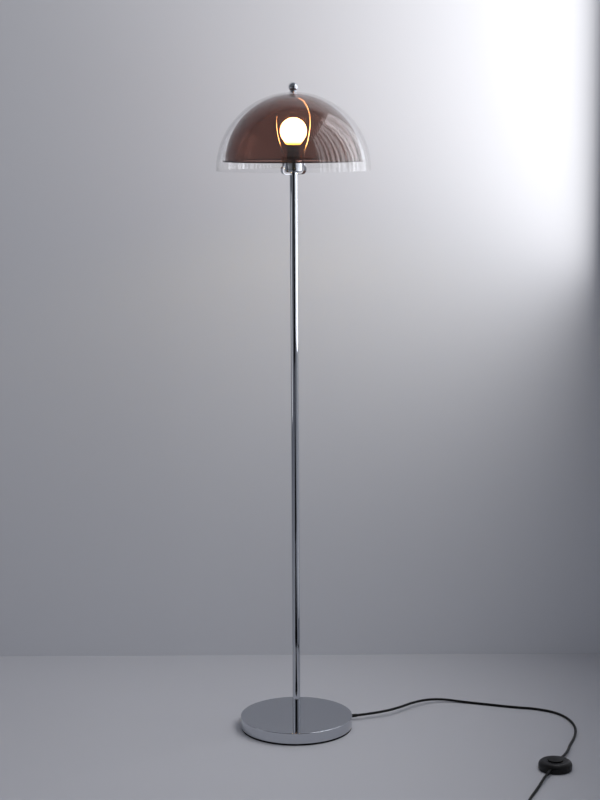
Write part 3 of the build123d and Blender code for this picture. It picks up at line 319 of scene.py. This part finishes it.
for name in (
    "base_cover", "pole", "harp_saddle", "harp_stud", "left_ferrule", "right_ferrule", "holder_cup",
    "saddle_nut", "holder_washer", "finial",
):
    wear(name, chrome)

# Plated drawn wire keeps the die's fine scores, so its mirror is softened to a broad sheen. The
# scores are drawn as spots of 8 mm, because the real ones are too fine to show.
drawn_wire, tree = new_material("chromed_drawn_wire")
place = add_node(tree, "ShaderNodeTexCoord")
draw_marks = add_node(
    tree, "ShaderNodeTexNoise", {"Scale": 120.0, "Detail": 3.0}, {"Vector": place.outputs["Object"]}
)
wire_rough = add_node(
    tree, "ShaderNodeMapRange", {"To Min": 0.12, "To Max": 0.24},
    {"Value": draw_marks.outputs["Fac"]},
)
wire_plate = add_node(
    tree, "ShaderNodeBsdfPrincipled", {"Base Color": linear("#D2D3D6"), "Metallic": 1.0},
    {"Roughness": wire_rough.outputs[0]},
)
finish_material(tree, wire_plate.outputs[0])
wear("harp_wire", drawn_wire)

# ---------------------------------------------------------------- base
# A cast iron disc under the chromed cover, with a foam pad glued below it, and the threaded tube,
# washer and nut that draw the pole down on it.

# Sand-cast iron is dark and dull, with the grain of the sand, drawn at 2.4 mm.
iron, tree = new_material("cast_iron")
place = add_node(tree, "ShaderNodeTexCoord")
grain = add_node(
    tree, "ShaderNodeTexNoise", {"Scale": 420.0, "Detail": 5.0}, {"Vector": place.outputs["Object"]}
)
iron_colour = add_node(
    tree, "ShaderNodeMix", {"data_type": "RGBA", 6: linear("#2B2B2D"), 7: linear("#47474A")},
    {0: grain.outputs["Fac"]},
)
sand = add_node(
    tree, "ShaderNodeBump", {"Strength": 0.6, "Distance": 0.0004}, {"Height": grain.outputs["Fac"]}
)
cast = add_node(
    tree, "ShaderNodeBsdfPrincipled", {"Metallic": 0.6, "Roughness": 0.72},
    {"Base Color": iron_colour.outputs[2], "Normal": sand.outputs[0]},
)
finish_material(tree, cast.outputs[0])
wear("base_weight", iron)

# Closed-cell foam rubber is black without any shine, with cut cells of about 1 mm.
foam, tree = new_material("closed_cell_foam")
place = add_node(tree, "ShaderNodeTexCoord")
cells = add_node(
    tree, "ShaderNodeTexVoronoi", {"Scale": 900.0}, {"Vector": place.outputs["Object"]}
)
foam_colour = add_node(
    tree, "ShaderNodeMix", {"data_type": "RGBA", 6: linear("#0C0C0D"), 7: linear("#1A1A1B")},
    {0: cells.outputs["Distance"]},
)
pores = add_node(
    tree, "ShaderNodeBump", {"Strength": 0.5, "Distance": 0.0003},
    {"Height": cells.outputs["Distance"]},
)
pad = add_node(
    tree, "ShaderNodeBsdfPrincipled", {"Roughness": 0.92, "Specular IOR Level": 0.2},
    {"Base Color": foam_colour.outputs[2], "Normal": pores.outputs[0]},
)
finish_material(tree, pad.outputs[0])
wear("base_pad", foam)
wear("switch_pad", foam)

# Zinc plate on turned steel is a warm, blurred grey metal, clouded in patches of 4 mm.
zinc, tree = new_material("zinc_plated_steel")
place = add_node(tree, "ShaderNodeTexCoord")
spangle = add_node(
    tree, "ShaderNodeTexNoise", {"Scale": 240.0, "Detail": 3.0}, {"Vector": place.outputs["Object"]}
)
zinc_rough = add_node(
    tree, "ShaderNodeMapRange", {"To Min": 0.24, "To Max": 0.42}, {"Value": spangle.outputs["Fac"]}
)
zinc_colour = add_node(
    tree, "ShaderNodeMix", {"data_type": "RGBA", 6: linear("#A9A79C"), 7: linear("#C2C3BE")},
    {0: spangle.outputs["Fac"]},
)
galvanised = add_node(
    tree, "ShaderNodeBsdfPrincipled", {"Metallic": 1.0},
    {"Base Color": zinc_colour.outputs[2], "Roughness": zinc_rough.outputs[0]},
)
finish_material(tree, galvanised.outputs[0])
for name in (
    "base_stud", "base_washer", "base_nut", "pole_foot_insert", "pole_top_insert", "top_nipple",
    "cup_nut", "switch_screws",
):
    wear(name, zinc)

# ---------------------------------------------------------------- lampholder
# A chromed cup round a moulded black holder with a brass screw shell, a brass contact leaf and
# two terminal screws for the bared leads.

# Pressed phenolic resin is near black with a low, even shine, and slight flow marks of 4 mm.
black_moulding, tree = new_material("black_phenolic")
place = add_node(tree, "ShaderNodeTexCoord")
flow = add_node(
    tree, "ShaderNodeTexNoise", {"Scale": 260.0, "Detail": 3.0}, {"Vector": place.outputs["Object"]}
)
flow_rough = add_node(
    tree, "ShaderNodeMapRange", {"To Min": 0.28, "To Max": 0.42}, {"Value": flow.outputs["Fac"]}
)
flow_colour = add_node(
    tree, "ShaderNodeMix", {"data_type": "RGBA", 6: linear("#0B0B0C"), 7: linear("#131314")},
    {0: flow.outputs["Fac"]},
)
skin = add_node(
    tree, "ShaderNodeBump", {"Strength": 0.12, "Distance": 0.0002}, {"Height": flow.outputs["Fac"]}
)
moulding = add_node(
    tree, "ShaderNodeBsdfPrincipled", {"Specular IOR Level": 0.3},
    {
        "Base Color": flow_colour.outputs[2],
        "Roughness": flow_rough.outputs[0],
        "Normal": skin.outputs[0],
    },
)
finish_material(tree, moulding.outputs[0])
for name in (
    "holder_body", "switch_lower", "switch_upper", "coil_tie", "pin_sleeves", "bulb_insulator",
):
    wear(name, black_moulding)

# Rolled brass is a soft yellow metal, tarnished in patches of 7 mm.
brass, tree = new_material("rolled_brass")
place = add_node(tree, "ShaderNodeTexCoord")
tarnish = add_node(
    tree, "ShaderNodeTexNoise", {"Scale": 150.0, "Detail": 4.0}, {"Vector": place.outputs["Object"]}
)
brass_colour = add_node(
    tree, "ShaderNodeMix", {"data_type": "RGBA", 6: linear("#B98B3D"), 7: linear("#DDB564")},
    {0: tarnish.outputs["Fac"]},
)
rolled = add_node(
    tree, "ShaderNodeBsdfPrincipled", {"Metallic": 1.0, "Roughness": 0.28},
    {"Base Color": brass_colour.outputs[2]},
)
finish_material(tree, rolled.outputs[0])
for name in ("screw_shell", "centre_contact", "terminal_screws"):
    wear(name, brass)

# Bared copper strands show as bands: copper on the wires, with painted shade in the dark bands
# between them.
copper, tree = new_material("bare_copper")
place = add_node(tree, "ShaderNodeTexCoord")
strand_shade_bands = add_node(
    tree, "ShaderNodeTexWave", {"Scale": 300.0, "Distortion": 1.0},
    {"Vector": place.outputs["Object"]},
)
# painted shade: the darker copper stands for the shade in the grooves between the strands
copper_and_strand_shade = add_node(
    tree, "ShaderNodeMix", {"data_type": "RGBA", 6: linear("#9A4A2A"), 7: linear("#D9855C")},
    {0: strand_shade_bands.outputs["Fac"]},
)
bare = add_node(
    tree, "ShaderNodeBsdfPrincipled", {"Metallic": 1.0, "Roughness": 0.3},
    {"Base Color": copper_and_strand_shade.outputs[2]},
)
finish_material(tree, bare.outputs[0])
wear("lead_cores", copper)

# ---------------------------------------------------------------- bulb
# A lit globe bulb: an opal globe on a short black neck, with the LED board inside it and a nickel
# plated screw cap below.

# The lit opal globe glows evenly, and turns yellow and dimmer just above the neck, in the shade of
# the LED board's edge. Heights are in metres above the floor.
GLOW_STARTS = 1.3695
GLOW_FULL = 1.3765

glow, tree = new_material("lit_opal_globe")
place = add_node(tree, "ShaderNodeTexCoord")
height = add_node(tree, "ShaderNodeSeparateXYZ", links={0: place.outputs["Object"]})
above_neck = add_node(
    tree, "ShaderNodeMapRange",
    {"From Min": GLOW_STARTS, "From Max": GLOW_FULL, "To Min": 0.0, "To Max": 1.0},
    {"Value": height.outputs["Z"]},
)
glow_colour = add_node(
    tree, "ShaderNodeMix", {"data_type": "RGBA", 6: linear("#FFDF59"), 7: linear("#FFDC8E")},
    {0: above_neck.outputs[0]},
)
glow_strength = add_node(
    tree, "ShaderNodeMapRange", {"From Min": 0.0, "From Max": 1.0, "To Min": 8.0, "To Max": 50.0},
    {"Value": above_neck.outputs[0]},
)
opal = add_node(
    tree, "ShaderNodeBsdfPrincipled", {"Base Color": linear("#F4EEE2"), "Roughness": 0.25},
    {"Emission Color": glow_colour.outputs[2], "Emission Strength": glow_strength.outputs[0]},
)
finish_material(tree, opal.outputs[0])
wear("bulb_globe", glow)

# Lacquered black thermoplastic: a hard, clear shine over black.
neck_black, tree = new_material("gloss_black_neck")
place = add_node(tree, "ShaderNodeTexCoord")
fine = add_node(tree, "ShaderNodeTexNoise", {"Scale": 90.0}, {"Vector": place.outputs["Object"]})
neck_rough = add_node(
    tree, "ShaderNodeMapRange", {"To Min": 0.08, "To Max": 0.16}, {"Value": fine.outputs["Fac"]}
)
neck = add_node(
    tree, "ShaderNodeBsdfPrincipled",
    {"Base Color": linear("#161617"), "Coat Weight": 0.6, "Coat Roughness": 0.05},
    {"Roughness": neck_rough.outputs[0]},
)
finish_material(tree, neck.outputs[0])
wear("bulb_body", neck_black)

# Nickel plate is a warm grey metal, duller than the chrome, with patches of 8 mm.
nickel, tree = new_material("nickel_plate")
place = add_node(tree, "ShaderNodeTexCoord")
dull = add_node(
    tree, "ShaderNodeTexNoise", {"Scale": 120.0, "Detail": 3.0}, {"Vector": place.outputs["Object"]}
)
dull_rough = add_node(
    tree, "ShaderNodeMapRange", {"To Min": 0.18, "To Max": 0.34}, {"Value": dull.outputs["Fac"]}
)
nickel_skin = add_node(
    tree, "ShaderNodeBsdfPrincipled", {"Base Color": linear("#B9B4A8"), "Metallic": 1.0},
    {"Roughness": dull_rough.outputs[0]},
)
finish_material(tree, nickel_skin.outputs[0])
for name in ("bulb_cap", "bulb_tip", "plug_pins"):
    wear(name, nickel)

# Moulded white nylon: slightly warm, half matt.
white_plastic, tree = new_material("white_moulding")
place = add_node(tree, "ShaderNodeTexCoord")
grey = add_node(tree, "ShaderNodeTexNoise", {"Scale": 80.0}, {"Vector": place.outputs["Object"]})
white_colour = add_node(
    tree, "ShaderNodeMix", {"data_type": "RGBA", 6: linear("#D9D8D3"), 7: linear("#E6E5E0")},
    {0: grey.outputs["Fac"]},
)
white = add_node(
    tree, "ShaderNodeBsdfPrincipled", {"Roughness": 0.4}, {"Base Color": white_colour.outputs[2]}
)
finish_material(tree, white.outputs[0])
wear("led_board", white_plastic)
wear("switch_block", white_plastic)

# ---------------------------------------------------------------- domes
# Two domes blown from acrylic sheet, one inside the other: the inner one smoked brown with a flat
# flange at its rim, the outer one clear. The ball clamps both on the harp's stud, between washers.

FLANGE = 0.003
FLANGE_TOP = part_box("inner_dome")[0][2] + FLANGE
HEAD_ON_SHARE = 0.04  # of the light that acrylic mirrors when looked at squarely


def acrylic(name, tint, edge_tint, rim_tint, haze_colour, haze_share, grazing_share):
    """Polished acrylic: it passes tinted light, less of it towards the edges and along the flange,
    mirrors a share that grows towards grazing angles, scatters a little, and waves over 140 mm."""
    material, tree = new_material(name)
    facing = add_node(tree, "ShaderNodeLayerWeight", {"Blend": 0.5})
    grazing = add_node(
        tree, "ShaderNodeMath", {"operation": "POWER", 1: 5.0}, {0: facing.outputs["Facing"]}
    )
    mirrored = add_node(
        tree, "ShaderNodeMath", {"operation": "MULTIPLY_ADD", 1: grazing_share, 2: HEAD_ON_SHARE},
        {0: grazing.outputs[0]},
    )
    slope = add_node(
        tree, "ShaderNodeMath", {"operation": "POWER", 1: 3.0}, {0: facing.outputs["Facing"]}
    )
    passed = add_node(
        tree, "ShaderNodeMix", {"data_type": "RGBA", 6: linear(tint), 7: linear(edge_tint)},
        {0: slope.outputs[0]},
    )
    place = add_node(tree, "ShaderNodeTexCoord")
    height = add_node(tree, "ShaderNodeSeparateXYZ", links={0: place.outputs["Object"]})
    above_rim = add_node(
        tree, "ShaderNodeMapRange", {"From Min": FLANGE_TOP, "From Max": FLANGE_TOP + 0.001},
        {"Value": height.outputs["Z"]},
    )
    rimmed = add_node(
        tree, "ShaderNodeMix", {"data_type": "RGBA", 6: linear(rim_tint)},
        {0: above_rim.outputs[0], 7: passed.outputs[2]},
    )
    clear = add_node(tree, "ShaderNodeBsdfTransparent", links={"Color": rimmed.outputs[2]})
    cloudy = add_node(
        tree, "ShaderNodeBsdfPrincipled", {"Base Color": linear(haze_colour), "Roughness": 0.5}
    )
    body = add_node(
        tree, "ShaderNodeMixShader", {0: haze_share}, {1: clear.outputs[0], 2: cloudy.outputs[0]}
    )
    wave = add_node(tree, "ShaderNodeTexNoise", {"Scale": 7.0}, {"Vector": place.outputs["Object"]})
    wavy = add_node(
        tree, "ShaderNodeBump", {"Strength": 0.06, "Distance": 0.002},
        {"Height": wave.outputs["Fac"]},
    )
    gloss = add_node(
        tree, "ShaderNodeBsdfGlossy", {"Roughness": 0.03}, {"Normal": wavy.outputs[0]}
    )
    surface = add_node(
        tree, "ShaderNodeMixShader",
        links={0: mirrored.outputs[0], 1: body.outputs[0], 2: gloss.outputs[0]},
    )
    finish_material(tree, surface.outputs[0])
    return material


smoked = acrylic(
    "smoked_brown_acrylic", tint="#CBB2A9", edge_tint="#A98C84", rim_tint="#7C5F58",
    haze_colour="#8A6A60", haze_share=0.05, grazing_share=0.95,
)
wear("inner_dome", smoked)
clear_acrylic = acrylic(
    "clear_acrylic", tint="#FFFFFF", edge_tint="#FDFDFE", rim_tint="#FFFFFF",
    haze_colour="#E6E9EC", haze_share=0.012, grazing_share=0.6,
)
wear("outer_dome", clear_acrylic)

# Clear soft vinyl washers: see-through but blurred, cloudy in patches of 5 mm.
gasket_plastic, tree = new_material("clear_vinyl")
place = add_node(tree, "ShaderNodeTexCoord")
cloud = add_node(tree, "ShaderNodeTexNoise", {"Scale": 200.0}, {"Vector": place.outputs["Object"]})
cloud_rough = add_node(
    tree, "ShaderNodeMapRange", {"To Min": 0.3, "To Max": 0.5}, {"Value": cloud.outputs["Fac"]}
)
vinyl = add_node(
    tree, "ShaderNodeBsdfPrincipled", {"Base Color": linear("#DADCDD"), "Transmission Weight": 0.6},
    {"Roughness": cloud_rough.outputs[0]},
)
finish_material(tree, vinyl.outputs[0])
wear("dome_gasket", gasket_plastic)
wear("dome_spacer", gasket_plastic)

# ---------------------------------------------------------------- switch spring
# The coil spring that lifts the foot switch's button: bright spring wire in four turns. It stands
# on the switch block; the real one shortens as the button is pressed, this one is fixed to the
# stand.

SAME_POINT = 0.00001
EDGE_ANGLE = math.radians(40)  # sharper edges than this stay sharp

spring = bpy.data.objects.new("coil_spring", nodes["switch_spring"].data.copy())
bpy.context.collection.objects.link(spring)
bpy.context.view_layer.objects.active = spring
spring.select_set(True)
bpy.ops.object.mode_set(mode="EDIT")
bpy.ops.mesh.select_all(action="SELECT")
bpy.ops.mesh.remove_doubles(threshold=SAME_POINT)
bpy.ops.object.mode_set(mode="OBJECT")
bpy.ops.object.shade_smooth_by_angle(angle=EDGE_ANGLE)
spring.select_set(False)
wear(spring, nickel)
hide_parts("switch_spring")
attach(spring, "stand")
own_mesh(spring)

# ---------------------------------------------------------------- cord
# A round two-core flex in a black vinyl sheath, 6 mm thick. It leaves the base, lies on the floor,
# goes through the foot switch and on to the plug, and what is left over is coiled and tied.

CORD = 0.006

# Extruded black vinyl has a soft, broad sheen. The drawing marks are of 1 mm, coarser than real.
vinyl_sheath, tree = new_material("black_vinyl_sheath")
place = add_node(tree, "ShaderNodeTexCoord")
drawn = add_node(
    tree, "ShaderNodeTexNoise", {"Scale": 900.0, "Detail": 2.0}, {"Vector": place.outputs["Object"]}
)
sheath_rough = add_node(
    tree, "ShaderNodeMapRange", {"To Min": 0.34, "To Max": 0.52}, {"Value": drawn.outputs["Fac"]}
)
sheath_colour = add_node(
    tree, "ShaderNodeMix", {"data_type": "RGBA", 6: linear("#060606"), 7: linear("#0C0C0D")},
    {0: drawn.outputs["Fac"]},
)
sheath_bump = add_node(
    tree, "ShaderNodeBump", {"Strength": 0.15, "Distance": 0.0001}, {"Height": drawn.outputs["Fac"]}
)
sheath = add_node(
    tree, "ShaderNodeBsdfPrincipled", {"Specular IOR Level": 0.22},
    {
        "Base Color": sheath_colour.outputs[2],
        "Roughness": sheath_rough.outputs[0],
        "Normal": sheath_bump.outputs[0],
    },
)
finish_material(tree, sheath.outputs[0])
for name in (
    "pole_lead", "switch_leads", "base_boot", "inlet_boot", "outlet_boot", "plug_boot", "plug_body",
    "switch_button",
):
    wear(name, vinyl_sheath)


def lay_cord(name, points):
    """A cord laid along control points, in metres, as one smooth spline."""
    curve = bpy.data.curves.new(name, "CURVE")
    curve.dimensions = "3D"
    spline = curve.splines.new("NURBS")
    spline.points.add(len(points) - 1)
    for point, place in zip(spline.points, points):
        point.co = (*place, 1.0)
    spline.order_u = 3
    spline.use_endpoint_u = True
    spline.resolution_u = 12
    curve.bevel_depth = CORD / 2
    curve.bevel_resolution = 6
    curve.use_fill_caps = True
    cord = bpy.data.objects.new(name, curve)
    bpy.context.collection.objects.link(cord)
    wear(cord, vinyl_sheath)
    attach(cord, "stand")
    return cord


def mm(points):
    """Points in millimetres as points in metres."""
    return [tuple(value / 1000 for value in point) for point in points]


lead_route = mm([
    (144.561, 46.971, 11),
    (176.897, 57.477, 11),
    (236, 80, 14),
    (298, 150, 12),
    (353, 179, 7),
    (412, 165, 3.1),
    (470, 145, 3.1),
    (528, 124, 3.1),
    (584, 112, 3.1),
    (632, 80, 3.1),
    (656, 26, 3.1),
    (659, -36, 3.1),
    (646, -94, 3.1),
    (628, -142, 3.1),
    (618, -181, 5.5),
    (608.789, -211.323, 9),
    (598.646, -233.075, 9),
])
lead = lay_cord("lead_to_switch", lead_route)
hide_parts("cord_to_switch")

tail_route = mm([
    (548.354, -340.925, 9),
    (538.211, -362.677, 9),
    (525, -394, 4.5),
    (507, -436, 3.1),
    (491, -476, 3.1),
    (484, -512, 4.1),
    (484, -542, 4.1),
])
STEPS = 16  # control points in each turn of the coil
COIL_TURNS = 4.25
TURNS_IN = 2.25  # wound inwards on the floor, then outwards on top of that
CLIMB_TURNS = 0.5
COIL_CENTRE = (444.5, -548)
COIL_RADIUS = 39.5
COIL_PITCH = 6.5  # from one turn to the next, and from one layer to the next
LOW_LAYER = 4.1
for step in range(1, int(COIL_TURNS * STEPS) + 1):
    turns = step / STEPS
    inwards = min(turns, TURNS_IN)
    outwards = max(turns - TURNS_IN, 0)
    radius = (COIL_RADIUS - COIL_PITCH * (inwards - outwards)) / math.cos(math.pi / STEPS)
    climb = min(max((turns - TURNS_IN + CLIMB_TURNS / 2) / CLIMB_TURNS, 0), 1)
    height = LOW_LAYER + COIL_PITCH * climb * climb * (3 - 2 * climb)
    angle = -2 * math.pi * turns
    x = COIL_CENTRE[0] + radius * math.cos(angle)
    y = COIL_CENTRE[1] + radius * math.sin(angle)
    tail_route += mm([(x, y, height)])
tail_route += mm([
    (438.5, -585.875, 10.6),
    (416.5, -585.875, 10.6),
    (392.5, -583, 6.95),
    (366.5, -583, 6.95),
])
tail = lay_cord("tail_to_plug", tail_route)
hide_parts("cord_to_plug", "cord_coil", "cord_end")
